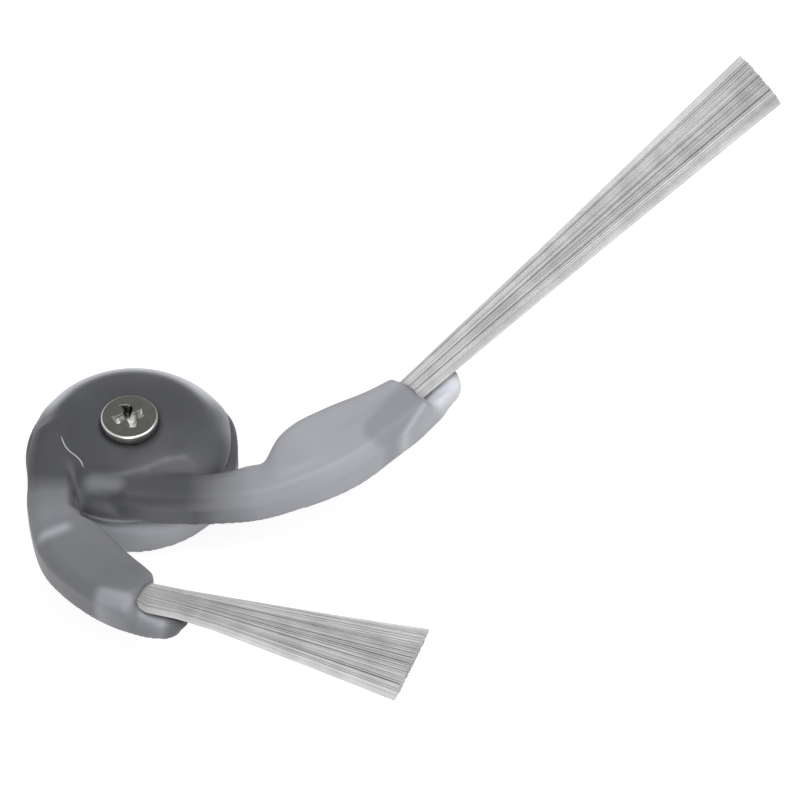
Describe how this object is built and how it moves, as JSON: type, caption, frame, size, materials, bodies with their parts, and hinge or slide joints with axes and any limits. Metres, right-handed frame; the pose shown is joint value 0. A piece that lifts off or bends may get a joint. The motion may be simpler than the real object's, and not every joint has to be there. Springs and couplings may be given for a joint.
{
  "type": "robot vacuum side brush",
  "caption": "Side brush for a robot vacuum: domed hub with a centre screw and keyed drive socket, and a long and a short curved soft arm, each ending in a flaring bristle tuft.",
  "frame": {"origin": "hub axis at the underside of the hub, in the mouth of the drive socket", "axes": "+Z along the hub axis towards the screw head; +X the way the long arm leaves the hub"},
  "size_m": [0.0881, 0.096, 0.0145],
  "materials": {
    "soft_grey": "satin translucent",
    "dark_core": "matte",
    "plated_steel": "nickel plated",
    "bristle": "fine filaments"
  },
  "bodies": {
    "root": {"brush_body": "soft_grey", "hub_core": "dark_core", "fixing_screw": "plated_steel", "long_tuft": "bristle", "short_tuft": "bristle"}
  },
  "joints": []
}
